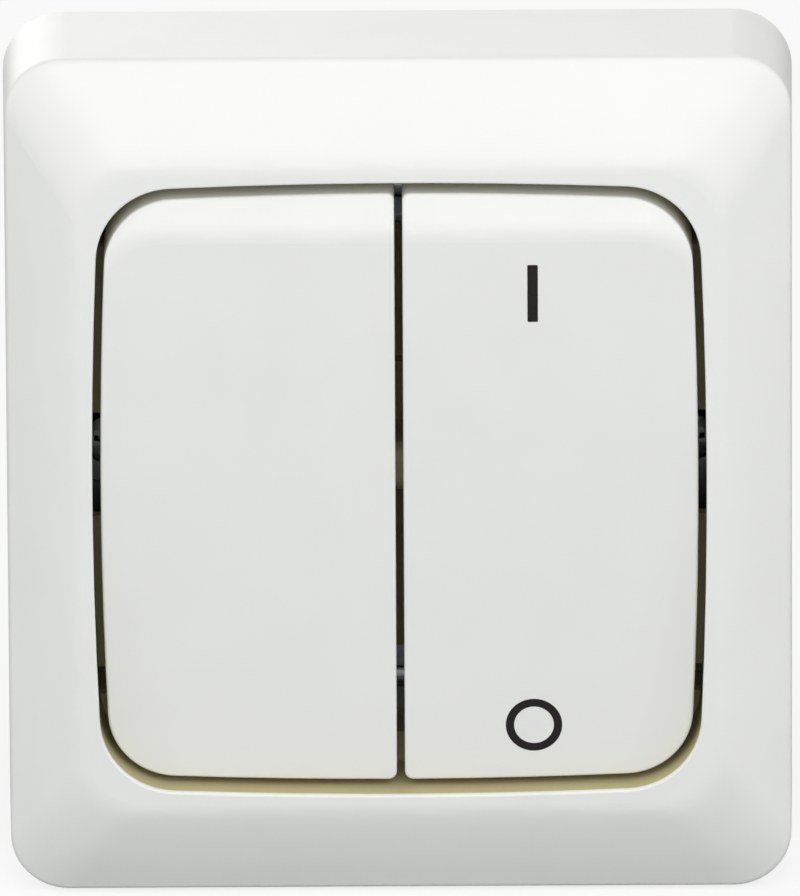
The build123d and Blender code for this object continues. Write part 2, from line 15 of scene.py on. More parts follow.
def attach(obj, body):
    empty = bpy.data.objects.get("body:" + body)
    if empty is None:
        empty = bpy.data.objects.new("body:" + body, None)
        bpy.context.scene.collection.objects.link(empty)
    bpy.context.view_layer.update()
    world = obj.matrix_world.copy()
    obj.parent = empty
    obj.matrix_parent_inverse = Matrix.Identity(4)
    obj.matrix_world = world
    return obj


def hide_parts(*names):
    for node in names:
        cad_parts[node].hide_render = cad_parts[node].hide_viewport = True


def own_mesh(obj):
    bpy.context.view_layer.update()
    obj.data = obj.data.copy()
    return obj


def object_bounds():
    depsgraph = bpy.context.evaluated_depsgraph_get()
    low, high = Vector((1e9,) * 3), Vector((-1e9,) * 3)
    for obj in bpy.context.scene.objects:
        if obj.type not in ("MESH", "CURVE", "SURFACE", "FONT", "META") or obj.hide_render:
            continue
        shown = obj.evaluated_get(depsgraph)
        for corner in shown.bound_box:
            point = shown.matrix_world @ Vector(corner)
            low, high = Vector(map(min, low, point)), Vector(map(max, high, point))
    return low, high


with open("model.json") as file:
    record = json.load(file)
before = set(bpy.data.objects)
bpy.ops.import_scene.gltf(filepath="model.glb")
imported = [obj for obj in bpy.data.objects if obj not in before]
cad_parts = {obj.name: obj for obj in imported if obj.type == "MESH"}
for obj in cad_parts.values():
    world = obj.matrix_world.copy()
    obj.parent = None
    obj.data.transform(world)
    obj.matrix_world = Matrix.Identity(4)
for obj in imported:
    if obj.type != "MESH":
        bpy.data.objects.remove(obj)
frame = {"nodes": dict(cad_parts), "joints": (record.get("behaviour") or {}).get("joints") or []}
CAD_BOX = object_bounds()
NODES = frame["nodes"]
JOINTS = {joint["name"]: joint for joint in frame["joints"]}

bl_info = {
    "name": "Wall switch with two rockers",
    "version": (1, 0, 0),
    "blender": (4, 5, 0),
    "location": "View3D > Sidebar > Wall switch",
    "description": "Finishes, marks, small metal parts and a studio stage for a two-gang wall switch",
    "category": "Object",
}

MM = 0.001
SIDES = ("left", "right")

# Photograph: frame in pixels, scale at the cover's front edge, and where that edge's centre is seen
IMAGE_WIDTH, IMAGE_HEIGHT = 800, 896
PIXELS_PER_MM = 9.68
SEEN_X, SEEN_Y = 399.3, 475.0
COVER_EDGE = 14.3 * MM

# Rocker caps: height of the face over the pivot, and how far a cap leans at rest
CAP_HEIGHT = 7.5 * MM
REST_TILT = math.radians(3)

# Printed marks: corner radius of the bar as a share of its width, and sides of the ring's outline
BAR_CORNER = 1 / 8
RING_SIDES = 96

# Gangs and contacts, and a lever's lean at rest. Heights under 0 are behind the wall
GANG_X = 10.5 * MM
LEVER_TILT = math.radians(8)
CONTACT_Z = 9.5 * MM
LEVER_CONTACT_END = -6.5 * MM
LEVER_CONTACT_RADIUS = 1.5 * MM
FIXED_CONTACT_END = -8.18 * MM
FIXED_CONTACT_RADIUS = 1.7 * MM

# Silver facings: how far they stand proud of a contact, their depth, chamfer and sides
FACING_PROUD = 0.03 * MM
FACING_DEPTH = 0.43 * MM
FACING_CHAMFER = 0.4 * MM
FACING_SIDES = 48

# Springs between plungers and cradles: heights of the ends, radii of the coil and the wire, and turns
SPRING_LOW, SPRING_HIGH = 3.3 * MM, 11.3 * MM
SPRING_RADIUS, SPRING_WIRE = 1.55 * MM, 0.25 * MM
SPRING_TURNS = 5

# Plate and box screws: places, turn of the cross, shank, and point narrowed to a share of the shank
PLATE_THICKNESS = 1.2 * MM
SLOT_X = 30 * MM
BOX_SCREW_TURN = math.radians(81.1266)
SHANK_RADIUS = 1.5 * MM
POINT_LENGTH = 0.6 * MM
POINT_SHARE = 0.7

# Head of a box screw: height as a share of its radius, then its dome in shares of radius and height
HEAD_SHARE = 0.7
DOME_FLAT = 0.62
DOME_SHOULDER = 0.86
DOME_RIM = 0.5

# Cross recess in the head: half the width of a slot, then reach and depth in shares of the head's radius
# and height, and how far the floor is narrowed. What lies above FLAT_TOP of the height is its flat top
CROSS_HALF = 0.3 * MM
CROSS_REACH = 0.55
CROSS_DEPTH = 0.55
CROSS_TAPER = 0.7
FLAT_TOP = 0.99

# Thread of a box screw: ridge, pitch, and the bare lengths at the point and under the head
BOX_THREAD_RISE, BOX_THREAD_PITCH = 0.22 * MM, 0.6 * MM
BARE_POINT, BARE_NECK = 1.0 * MM, 0.8 * MM

# Clamp screws: the shank that shows between head and cage, its thread, and the axes' heights and shift
CLAMP_RADIUS = 1.5 * MM
CLAMP_START, CLAMP_END = 19.8 * MM, 21.1 * MM
CLAMP_THREAD_RISE, CLAMP_THREAD_PITCH = 0.18 * MM, 0.5 * MM
FIXED_CLAMP_HEIGHT = -13.6 * MM
COMMON_CLAMP_HEIGHT = -17.6 * MM
COMMON_CLAMP_SHIFT = 1.0 * MM

# Any thread: radius of the ridge's foot as a share of the shank, and half its width in pitches
THREAD_FOOT = 0.9
THREAD_HALF_WIDTH = 0.45

# Meshes: points nearer than this are one, and edges sharper than this stay sharp
MERGE_DISTANCE = 0.0001 * MM
SHARP_EDGE = math.radians(30)

# Noise stays between about these values
NOISE_LOW, NOISE_HIGH = 0.3, 0.7

# Stage: half the floor's width, its drop below the switch, its share of white, and plain white light
FLOOR_REACH = 4
FLOOR_DROP = 0.1 * MM
FLOOR_WHITENESS = 0.8
WHITE_LIGHT = {"Color": (1, 1, 1, 1), "Strength": 1.0}


def linear(hex_colour):
    """sRGB hex colour, such as #E9E9E5, as the linear red, green and blue that Blender works with."""
    channels = (int(hex_colour[i : i + 2], 16) / 255 for i in (1, 3, 5))
    return tuple(c / 12.92 if c <= 0.04045 else ((c + 0.055) / 1.055) ** 2.4 for c in channels)


def per_mm(size):
    """Scale of a texture whose features are size millimetres apart."""
    return 1 / (size * MM)


def measure(name, description, millimetres):
    """A length that a user can change, in millimetres here and in metres in Blender."""
    return bpy.props.FloatProperty(
        name=name, description=description, default=millimetres * MM, subtype="DISTANCE", unit="LENGTH"
    )


def angle(name, description, degrees):
    """An angle that a user can change, in degrees here and in radians in Blender."""
    return bpy.props.FloatProperty(
        name=name,
        description=description,
        default=math.radians(degrees),
        subtype="ANGLE",
        unit="ROTATION",
    )


def power(name, description, watts):
    """The power of a lamp that a user can change."""
    return bpy.props.FloatProperty(name=name, description=description, default=watts, unit="POWER")


def colour(name, description, hex_colour):
    """A colour that a user can change."""
    return bpy.props.FloatVectorProperty(
        name=name,
        description=description,
        default=linear(hex_colour),
        subtype="COLOR",
        min=0,
        max=1,
        size=3,
    )


class SwitchSizes(bpy.types.PropertyGroup):
    """Printed marks on the right rocker, in its middle position, and box screws"""

    mark_x: measure("Marks, across", "Distance of both marks from the switch's middle", 13.8)
    bar_z: measure("Bar, up", "Height of the bar's centre over the switch's middle", 22.0)
    bar_width: measure("Bar width", "Width of the bar", 1.08)
    bar_height: measure("Bar height", "Height of the bar", 6.34)
    ring_z: measure("Ring, up", "Height of the ring's centre over the switch's middle", -26.4)
    ring_outer: measure("Ring radius", "Outer radius of the ring", 2.92)
    ring_inner: measure("Ring hole radius", "Inner radius of the ring", 2.06)
    ink_proud: measure("Ink thickness", "How far the ink stands over the plastic", 0.02)
    ink_sunk: measure("Ink depth", "How far the ink reaches into the plastic", 0.04)
    box_screw_head: measure("Box screw head", "Radius of the head of a box screw", 3.0)
    box_screw_length: measure("Box screw length", "Length of a box screw under its head", 12.0)


class SwitchColours(bpy.types.PropertyGroup):
    """Colours of the plastics, metals and ink"""

    cover: colour("Cover and rockers", "White moulded plastic", "#E9E9E5")
    clip: colour("Clip frame", "Ivory moulded plastic", "#BDB488")
    housing: colour("Housing", "Grey moulded plastic", "#8D9090")
    carrier: colour("Carriers", "Natural white plastic of the cradles and plungers", "#DCDCD4")
    ink: colour("Ink", "Black printing ink", "#171011")
    zinc: colour("Zinc", "Zinc plating on steel", "#BFC3C6")
    wire: colour("Spring wire", "Drawn spring steel", "#A9ABAD")
    brass: colour("Brass", "Rolled brass strip", "#D2AE62")
    silver: colour("Contact silver", "Silver alloy of the contacts", "#DEDDD6")


class SwitchStage(bpy.types.PropertyGroup):
    """Studio light and camera"""

    elevation: angle("Camera elevation", "Angle of the camera above the horizon", 20)
    roll: angle("Camera roll", "Turn of the picture, counter-clockwise", 0.3)
    distance: measure("Camera distance", "Distance from the camera to the cover", 3000)
    key: power("Key light", "Power of the large soft lamp", 2.7)
    side: power("Side lights", "Power of the lamps at both sides", 1.1)
    back: power("Back light", "Power of the lamp behind", 4.0)
    ambient: bpy.props.FloatProperty(
        name="Ambient", description="Strength of the light all round", default=0.46
    )
    ambient_colour: colour("Ambient colour", "Colour of the light all round", "#F7FAFC")
    floor: colour("Floor", "Colour of the floor", "#F4F4F4")
    floor_bounce: colour("Floor bounce", "Colour of the light that the floor throws back", "#B8BABB")


def add(tree, kind, inputs=None, **settings):
    """Adds a node with its settings, and links its inputs or sets their values."""
    node = tree.nodes.new(kind)
    for name, value in settings.items():
        setattr(node, name, value)
    for name, value in (inputs or {}).items():
        if isinstance(value, bpy.types.NodeSocket):
            tree.links.new(value, node.inputs[name])
        else:
            node.inputs[name].default_value = value
    return node


def shaded(plain, share=0):
    """A colour with four channels, darkened by a share."""
    return (*(channel * (1 - share) for channel in plain), 1)


def surface(name, shine):
    """A material with one Principled shader set as shine says, and the piece's own coordinates."""
    material = bpy.data.materials.new(name)
    material.use_nodes = True
    tree = material.node_tree
    shader = tree.nodes["Principled BSDF"]
    for socket, value in shine.items():
        shader.inputs[socket].default_value = value
    place = add(tree, "ShaderNodeTexCoord").outputs["Object"]
    return material, tree, shader, place


def grain(tree, place, size, detail=2.0, stretch=(1, 1, 1)):
    """Noise whose features are size millimetres across, drawn out where stretch is below 1."""
    mapped = add(tree, "ShaderNodeMapping", {"Vector": place, "Scale": stretch}).outputs["Vector"]
    noise = add(tree, "ShaderNodeTexNoise", {"Vector": mapped, "Scale": per_mm(size), "Detail": detail})
    return noise.outputs["Fac"]


def vary(tree, shader, clouds, skin, plain, darker, roughness, depth=0):
    """Clouds a plain colour, and lets its skin change the sheen and stand up by a depth in millimetres.

    Clouds and skin are noise. The clouds darken the colour by up to a share, and the skin takes the
    roughness from the lower to the higher value.
    """
    noise = {"From Min": NOISE_LOW, "From Max": NOISE_HIGH}
    cover = add(tree, "ShaderNodeMapRange", {"Value": clouds, **noise, "To Min": 0, "To Max": 1})
    tones = {"Fac": cover.outputs["Result"], "Color1": shaded(plain), "Color2": shaded(plain, darker)}
    mixed = add(tree, "ShaderNodeMixRGB", tones)
    tree.links.new(mixed.outputs["Color"], shader.inputs["Base Color"])
    low, high = roughness
    sheen = add(tree, "ShaderNodeMapRange", {"Value": skin, **noise, "To Min": low, "To Max": high})
    tree.links.new(sheen.outputs["Result"], shader.inputs["Roughness"])
    if depth:
        bump = add(tree, "ShaderNodeBump", {"Height": skin, "Distance": depth * MM, "Strength": 1.0})
        tree.links.new(bump.outputs["Normal"], shader.inputs["Normal"])


def moulded_abs(colours):
    """White ABS, injection moulded in a finely etched tool.

    The etching gives an even satin sheen with a grain of about 0.1 mm, drawn at 0.35 mm so that it shows.
    """
    material, tree, shader, place = surface("white_abs_satin_moulded", {"IOR": 1.53})
    etching = grain(tree, place, size=0.35)
    clouds = grain(tree, place, size=9, detail=1.0)
    vary(tree, shader, clouds, etching, colours.cover, darker=0.02, roughness=(0.4, 0.5), depth=0.004)
    return material


def moulded_ivory(colours):
    """Ivory polypropylene, moulded and left as it comes: softer, waxier and a little uneven in colour."""
    material, tree, shader, place = surface("ivory_polypropylene_moulded", {"IOR": 1.49})
    skin = grain(tree, place, size=0.4)
    clouds = grain(tree, place, size=6)
    vary(tree, shader, clouds, skin, colours.clip, darker=0.05, roughness=(0.42, 0.55), depth=0.006)
    return material


def moulded_polyamide(colours):
    """Grey glass-filled polyamide: matt, with faint flow marks and short fibres at the skin."""
    material, tree, shader, place = surface("grey_glass_filled_polyamide", {"IOR": 1.53})
    fibres = grain(tree, place, size=0.5, detail=4.0, stretch=(1, 1, 0.35))
    flow = grain(tree, place, size=11, detail=3.0)
    vary(tree, shader, flow, fibres, colours.housing, darker=0.12, roughness=(0.5, 0.68), depth=0.012)
    return material


def moulded_acetal(colours):
    """Natural acetal, for parts that slide: slick and slightly milky."""
    shine = {"IOR": 1.48, "Coat Weight": 0.15, "Coat Roughness": 0.3}
    material, tree, shader, place = surface("natural_acetal_moulded", shine)
    clouds = grain(tree, place, size=4)
    vary(tree, shader, clouds, clouds, colours.carrier, darker=0.04, roughness=(0.32, 0.42))
    return material


def plated_steel(colours):
    """Cold-rolled steel with bright zinc plating: fine rolling lines along X and a cloudy skin."""
    material, tree, shader, place = surface("zinc_plated_rolled_steel", {"Metallic": 1.0})
    lines = grain(tree, place, size=0.25, detail=3.0, stretch=(0.05, 1, 1))
    clouds = grain(tree, place, size=5, detail=4.0)
    vary(tree, shader, clouds, lines, colours.zinc, darker=0.18, roughness=(0.26, 0.42), depth=0.006)
    return material


def drawn_wire(colours):
    """Drawn spring steel: smooth and slightly dark. The drawing lines are too fine, and show as sheen."""
    material, tree, shader, place = surface("drawn_spring_steel", {"Metallic": 1.0})
    clouds = grain(tree, place, size=0.8)
    vary(tree, shader, clouds, clouds, colours.wire, darker=0.15, roughness=(0.24, 0.36))
    return material


def rolled_brass(colours):
    """Brass strip, stamped from the roll: warm, with rolling lines along Z and a slight tarnish."""
    material, tree, shader, place = surface("rolled_brass_stamped", {"Metallic": 1.0})
    lines = grain(tree, place, size=0.2, detail=3.0, stretch=(1, 1, 0.06))
    tarnish = grain(tree, place, size=3, detail=4.0)
    vary(tree, shader, tarnish, lines, colours.brass, darker=0.22, roughness=(0.22, 0.38), depth=0.004)
    return material


def contact_silver(colours):
    """Silver alloy of the contacts: pale, with a fine matt skin from heading the rivet."""
    material, tree, shader, place = surface("silver_alloy_contact", {"Metallic": 1.0})
    skin = grain(tree, place, size=0.3, detail=3.0)
    vary(tree, shader, skin, skin, colours.silver, darker=0.1, roughness=(0.3, 0.45))
    return material


def printed_ink(colours):
    """Black pad-printing ink: thin, flat and slightly uneven, with a duller sheen than the plastic."""
    shine = {"IOR": 1.5, "Specular IOR Level": 0.3}
    material, tree, shader, place = surface("black_pad_printed_ink", shine)
    film = grain(tree, place, size=0.3)
    vary(tree, shader, film, film, colours.ink, darker=0.3, roughness=(0.5, 0.62))
    return material


def dress(nodes, material):
    """Gives CAD nodes a material through their material slots."""
    for node in nodes:
        for slot in NODES[node].material_slots:
            slot.material = material


def finished(name, bm, material, body):
    """Makes a piece from a bmesh: doubles merged, faces outwards, smooth but for its sharp edges."""
    bmesh.ops.remove_doubles(bm, verts=bm.verts, dist=MERGE_DISTANCE)
    bmesh.ops.recalc_face_normals(bm, faces=bm.faces)
    mesh = bpy.data.meshes.new(name)
    bm.to_mesh(mesh)
    bm.free()
    mesh.materials.append(material)
    mesh.shade_smooth()
    mesh.set_sharp_from_angle(angle=SHARP_EDGE)
    piece = bpy.data.objects.new(name, mesh)
    bpy.context.collection.objects.link(piece)
    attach(piece, body)
    return piece


def towards_room(x, height, z):
    """Turns a shape drawn along local Z to point at the room.

    Its origin goes to x and z, at a height over the wall.
    """
    return Matrix.Translation((x, -height, z)) @ Matrix.Rotation(math.radians(90), 4, "X")


def leaning(joint, angle):
    """Turns a shape about a joint's axis, from its middle position to rest."""
    pivot = Vector(JOINTS[joint]["pos_m"])
    return Matrix.Translation(pivot) @ Matrix.Rotation(angle, 4, "X") @ Matrix.Translation(-pivot)


def on_right_cap(x, z):
    """Lays a shape drawn in the XY plane on the right cap's face, at x and z with the cap upright."""
    pivot = Vector(JOINTS["right_rocker_tilt"]["pos_m"])
    return leaning("right_rocker_tilt", REST_TILT) @ towards_room(x, CAP_HEIGHT - pivot.y, z)


def looking_from(away, distance, target=Vector()):
    """Puts a lamp or a camera at a distance from its target, and turns it to look back at it."""
    turn = away.to_track_quat("Z", "Y").to_matrix().to_4x4()
    return Matrix.Translation(target + away * distance) @ turn


def corners_of(made):
    """The corners among what an operator has made."""
    return [item for item in made["geom"] if isinstance(item, bmesh.types.BMVert)]


def close_ends(bm):
    """Closes the open ends of a tube."""
    bmesh.ops.edgeloop_fill(bm, edges=[e for e in bm.edges if e.is_boundary])


def wind(bm, shape, turns, steps, pitch=0):
    """Spins a shape round local Z, with so many steps a turn, and up by the pitch in each turn.

    A full turn without a pitch closes on itself.
    """
    bmesh.ops.spin(
        bm,
        geom=shape,
        cent=(0, 0, 0),
        axis=(0, 0, 1),
        dvec=(0, 0, pitch / steps),
        angle=2 * math.pi * turns,
        steps=round(steps * turns),
        use_merge=pitch == 0,
    )


def thread(radius, rise, pitch, low, high):
    """A helical ridge round local Z, with a triangular section that starts inside the shank."""
    bm = bmesh.new()
    foot = radius * THREAD_FOOT
    half_width = pitch * THREAD_HALF_WIDTH
    corners = [bm.verts.new((foot, 0, low + side * half_width)) for side in (-1, 1)]
    corners.append(bm.verts.new((radius + rise, 0, low)))
    edges = [bm.edges.new((corners[i - 1], corners[i])) for i in range(3)]
    wind(bm, corners + edges, turns=(high - low) / pitch, steps=20, pitch=pitch)
    close_ends(bm)
    return bm


def lathe(profile):
    """A closed body of revolution round local Z.

    The profile is a row of radii and heights that starts and ends on the axis.
    """
    bm = bmesh.new()
    points = [bm.verts.new((radius, 0, height)) for radius, height in profile]
    edges = [bm.edges.new(pair) for pair in zip(points, points[1:])]
    wind(bm, points + edges, turns=1, steps=40)
    bmesh.ops.remove_doubles(bm, verts=bm.verts, dist=MERGE_DISTANCE)
    return bm


def join(bm, other, place=Matrix()):
    """Adds another bmesh to this one, at its place, and frees the other."""
    other.transform(place)
    mesh = bpy.data.meshes.new("part")
    other.to_mesh(mesh)
    other.free()
    bm.from_mesh(mesh)
    bpy.data.meshes.remove(mesh)


def cut_cross(bm, head_radius, head_height):
    """Cuts a cross recess, which narrows towards its floor, into the flat top of a screw's head."""
    top = FLAT_TOP * head_height
    reach = CROSS_REACH * head_radius
    for across in ((1, 0, 0), (0, 1, 0)):
        for at in (-reach, -CROSS_HALF, CROSS_HALF, reach):
            faces = [f for f in bm.faces if f.calc_center_median().z > top]
            edges = dict.fromkeys(e for f in faces for e in f.edges)
            corners = dict.fromkeys(v for f in faces for v in f.verts)
            bmesh.ops.bisect_plane(
                bm, geom=[*faces, *edges, *corners], plane_co=Vector(across) * at, plane_no=across
            )
    cross = []
    for face in bm.faces:
        middle = face.calc_center_median()
        near, far = sorted((abs(middle.x), abs(middle.y)))
        if middle.z > top and near < CROSS_HALF and far < reach:
            cross.append(face)
    floor = corners_of(bmesh.ops.extrude_face_region(bm, geom=cross))
    bmesh.ops.delete(bm, geom=cross, context="FACES")
    bmesh.ops.translate(bm, vec=(0, 0, -CROSS_DEPTH * head_height), verts=floor)
    bmesh.ops.scale(bm, vec=(CROSS_TAPER, CROSS_TAPER, 1), verts=floor)


def box_screw(head_radius, shank_length):
    """A pan-head box screw along local Z, with its head's seat at 0: body, cross recess and thread."""
    head_height = HEAD_SHARE * head_radius
    bm = lathe(
        (
            (0, head_height),
            (DOME_FLAT * head_radius, head_height),
            (DOME_SHOULDER * head_radius, DOME_SHOULDER * head_height),
            (head_radius, DOME_RIM * head_height),
            (head_radius, 0),
            (SHANK_RADIUS, 0),
            (SHANK_RADIUS, POINT_LENGTH - shank_length),
            (POINT_SHARE * SHANK_RADIUS, -shank_length),
            (0, -shank_length),
        )
    )
    cut_cross(bm, head_radius, head_height)
    start = BARE_POINT - shank_length
    join(bm, thread(SHANK_RADIUS, BOX_THREAD_RISE, BOX_THREAD_PITCH, start, -BARE_NECK))
    return bm


class WALLSWITCH_OT_white_mouldings(bpy.types.Operator):
    """Gives the cover frame and both rockers their white satin finish"""

    bl_idname = "wallswitch.white_mouldings"
    bl_label = "Cover and rockers"

    def execute(self, context):
        white = moulded_abs(context.scene.switch_colours)
        dress(("cover_frame", "left_rocker", "right_rocker"), white)
        return {"FINISHED"}


class WALLSWITCH_OT_marks(bpy.types.Operator):
    """Prints the bar for on and the ring for off on the right rocker"""

    bl_idname = "wallswitch.marks"
    bl_label = "On and off marks"

    def execute(self, context):
        sizes = context.scene.switch_sizes
        ink = printed_ink(context.scene.switch_colours)
        thickness = sizes.ink_proud + sizes.ink_sunk

        bar = self.bar(sizes, thickness)
        bar.transform(on_right_cap(sizes.mark_x, sizes.bar_z))
        finished("on_mark", bar, ink, "right_rocker_body")

        ring = self.ring(sizes, thickness)
        ring.transform(on_right_cap(sizes.mark_x, sizes.ring_z))
        finished("off_mark", ring, ink, "right_rocker_body")
        return {"FINISHED"}

    def bar(self, sizes, thickness):
        """A flat bar with rounded corners, partly sunk into the plane that it is printed on."""
        bm = bmesh.new()
        bmesh.ops.create_cube(bm, size=1)
        bmesh.ops.scale(bm, vec=(sizes.bar_width, sizes.bar_height, thickness), verts=bm.verts)
        bmesh.ops.bevel(
            bm,
            geom=[e for e in bm.edges if abs(e.verts[0].co.z - e.verts[1].co.z) > thickness / 2],
            offset=sizes.bar_width * BAR_CORNER,
            affect="EDGES",
            segments=4,
            profile=0.5,
            material=-1,
        )
        bmesh.ops.translate(bm, vec=(0, 0, sizes.ink_proud - thickness / 2), verts=bm.verts)
        return bm

    def ring(self, sizes, thickness):
        """A flat ring, sunk like the bar."""
        bm = bmesh.new()
        bmesh.ops.create_circle(bm, segments=RING_SIDES, radius=sizes.ring_outer)
        drawn_in = corners_of(bmesh.ops.extrude_edge_only(bm, edges=bm.edges))
        share = sizes.ring_inner / sizes.ring_outer
        bmesh.ops.scale(bm, vec=(share, share, 1), verts=drawn_in)
        raised = corners_of(bmesh.ops.extrude_face_region(bm, geom=bm.faces))
        bmesh.ops.translate(bm, vec=(0, 0, thickness), verts=raised)
        bmesh.ops.translate(bm, vec=(0, 0, -sizes.ink_sunk), verts=bm.verts)
        return bm


class WALLSWITCH_OT_carrier_parts(bpy.types.Operator):
    """Finishes the steel plate and body screws, and the ivory clip frame and lid"""

    bl_idname = "wallswitch.carrier_parts"
    bl_label = "Plate and clip frame"

    def execute(self, context):
        colours = context.scene.switch_colours
        dress(("clip_frame", "housing_lid"), moulded_ivory(colours))
        dress(("support_plate", "body_screws"), plated_steel(colours))
        return {"FINISHED"}


class WALLSWITCH_OT_box_screws(bpy.types.Operator):
    """Puts the two box screws into the fixing slots"""

    bl_idname = "wallswitch.box_screws"
    bl_label = "Box screws"

    def execute(self, context):
        sizes = context.scene.switch_sizes
        steel = plated_steel(context.scene.switch_colours)
        for side, x, turn in zip(SIDES, (-SLOT_X, SLOT_X), (BOX_SCREW_TURN, -BOX_SCREW_TURN)):
            screw = box_screw(sizes.box_screw_head, sizes.box_screw_length)
            screw.transform(towards_room(x, PLATE_THICKNESS, 0) @ Matrix.Rotation(turn, 4, "Z"))
            finished(f"{side}_box_screw", screw, steel, "base")
        return {"FINISHED"}


class WALLSWITCH_OT_housing(bpy.types.Operator):
    """Finishes the grey housing behind the plate"""

    bl_idname = "wallswitch.housing"
    bl_label = "Housing"

    def execute(self, context):
        dress(("housing",), moulded_polyamide(context.scene.switch_colours))
        return {"FINISHED"}


class WALLSWITCH_OT_mechanism(bpy.types.Operator):
    """Finishes the cradles, plungers, contact levers and contact strips"""

    bl_idname = "wallswitch.mechanism"
    bl_label = "Switching mechanism"

    def execute(self, context):
        colours = context.scene.switch_colours
        acetal = moulded_acetal(colours)
        brass = rolled_brass(colours)
        for side in SIDES:
            dress((f"{side}_cradle", f"{side}_plunger"), acetal)
            dress((f"{side}_contact_lever", f"{side}_common_strip", f"{side}_lower_contact"), brass)
        dress(("left_upper_contact",), brass)
        return {"FINISHED"}


class WALLSWITCH_OT_springs(bpy.types.Operator):
    """Winds the plunger springs in place of the CAD springs, which it hides"""

    bl_idname = "wallswitch.springs"
    bl_label = "Plunger springs"

    def execute(self, context):
        wire = drawn_wire(context.scene.switch_colours)
        for side, x in zip(SIDES, (-GANG_X, GANG_X)):
            spring = self.coil()
            lean = leaning(f"{side}_rocker_tilt", REST_TILT)
            spring.transform(lean @ towards_room(x, 0, 0))
            piece = finished(f"{side}_coil", spring, wire, f"{side}_rocker_body")
            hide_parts(f"{side}_plunger_spring")
            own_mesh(piece)
        return {"FINISHED"}

    def coil(self):
        """Round wire wound into a coil round local Z."""
        bm = bmesh.new()
        bmesh.ops.create_circle(bm, segments=12, radius=SPRING_WIRE)
        upright = Matrix.Rotation(math.radians(90), 4, "X")
        bm.transform(Matrix.Translation((SPRING_RADIUS, 0, SPRING_LOW)) @ upright)
        pitch = (SPRING_HIGH - SPRING_LOW) / SPRING_TURNS
        wind(bm, list(bm.verts) + list(bm.edges), turns=SPRING_TURNS, steps=28, pitch=pitch)
        close_ends(bm)
        return bm


class WALLSWITCH_OT_contact_facings(bpy.types.Operator):
    """Faces the contacts of the levers and of the fixed strips with silver alloy"""

    bl_idname = "wallswitch.contact_facings"
    bl_label = "Contact facings"

    def execute(self, context):
        silver = contact_silver(context.scene.switch_colours)
        for side, x in zip(SIDES, (-GANG_X, GANG_X)):
            pair = bmesh.new()
            for z in (-CONTACT_Z, CONTACT_Z):
                join(pair, self.facing(LEVER_CONTACT_RADIUS, -1), towards_room(x, LEVER_CONTACT_END, z))
            pair.transform(leaning(f"{side}_lever_flip", -LEVER_TILT))
            finished(f"{side}_lever_facings", pair, silver, f"{side}_lever_body")
        fixed = bmesh.new()
        for x, z in ((-GANG_X, -CONTACT_Z), (-GANG_X, CONTACT_Z), (GANG_X, -CONTACT_Z)):
            join(fixed, self.facing(FIXED_CONTACT_RADIUS, 1), towards_room(x, FIXED_CONTACT_END, z))
        finished("fixed_facings", fixed, silver, "base")
        return {"FINISHED"}

    def facing(self, radius, direction):
        """A thin chamfered disc whose outer face stands just proud of a contact that ends at 0."""
        bm = bmesh.new()
        bmesh.ops.create_cone(
            bm,
            cap_ends=True,
            segments=FACING_SIDES,
            radius1=radius + FACING_PROUD,
            radius2=radius + FACING_PROUD - FACING_CHAMFER,
            depth=FACING_DEPTH,
        )
        bmesh.ops.translate(bm, vec=(0, 0, FACING_PROUD - FACING_DEPTH / 2), verts=bm.verts)
        if direction < 0:
            bm.transform(Matrix.Rotation(math.pi, 4, "X"))
        return bm


class WALLSWITCH_OT_terminals(bpy.types.Operator):
    """Finishes the clamp cages and clamp screws, and cuts the screws' threads"""

    bl_idname = "wallswitch.terminals"
    bl_label = "Terminals"

    def execute(self, context):
        steel = plated_steel(context.scene.switch_colours)
        dress(("terminal_cages", "terminal_screws"), steel)
        threads = bmesh.new()
        upwards = Matrix.Translation((0, -FIXED_CLAMP_HEIGHT, 0))
        downwards = upwards @ Matrix.Rotation(math.pi, 4, "X")
        for x, direction in ((-GANG_X, upwards), (-GANG_X, downwards), (GANG_X, downwards)):
            join(threads, self.clamp_thread(), Matrix.Translation((x, 0, 0)) @ direction)
        for side in (-1, 1):
            shift = Matrix.Translation((-side * COMMON_CLAMP_SHIFT, -COMMON_CLAMP_HEIGHT, 0))
            join(threads, self.clamp_thread(), shift @ Matrix.Rotation(side * math.pi / 2, 4, "Y"))
        finished("clamp_threads", threads, steel, "base")
        return {"FINISHED"}

    def clamp_thread(self):
        """The visible turns of thread between a clamp screw's head and its cage."""
        return thread(CLAMP_RADIUS, CLAMP_THREAD_RISE, CLAMP_THREAD_PITCH, CLAMP_START, CLAMP_END)


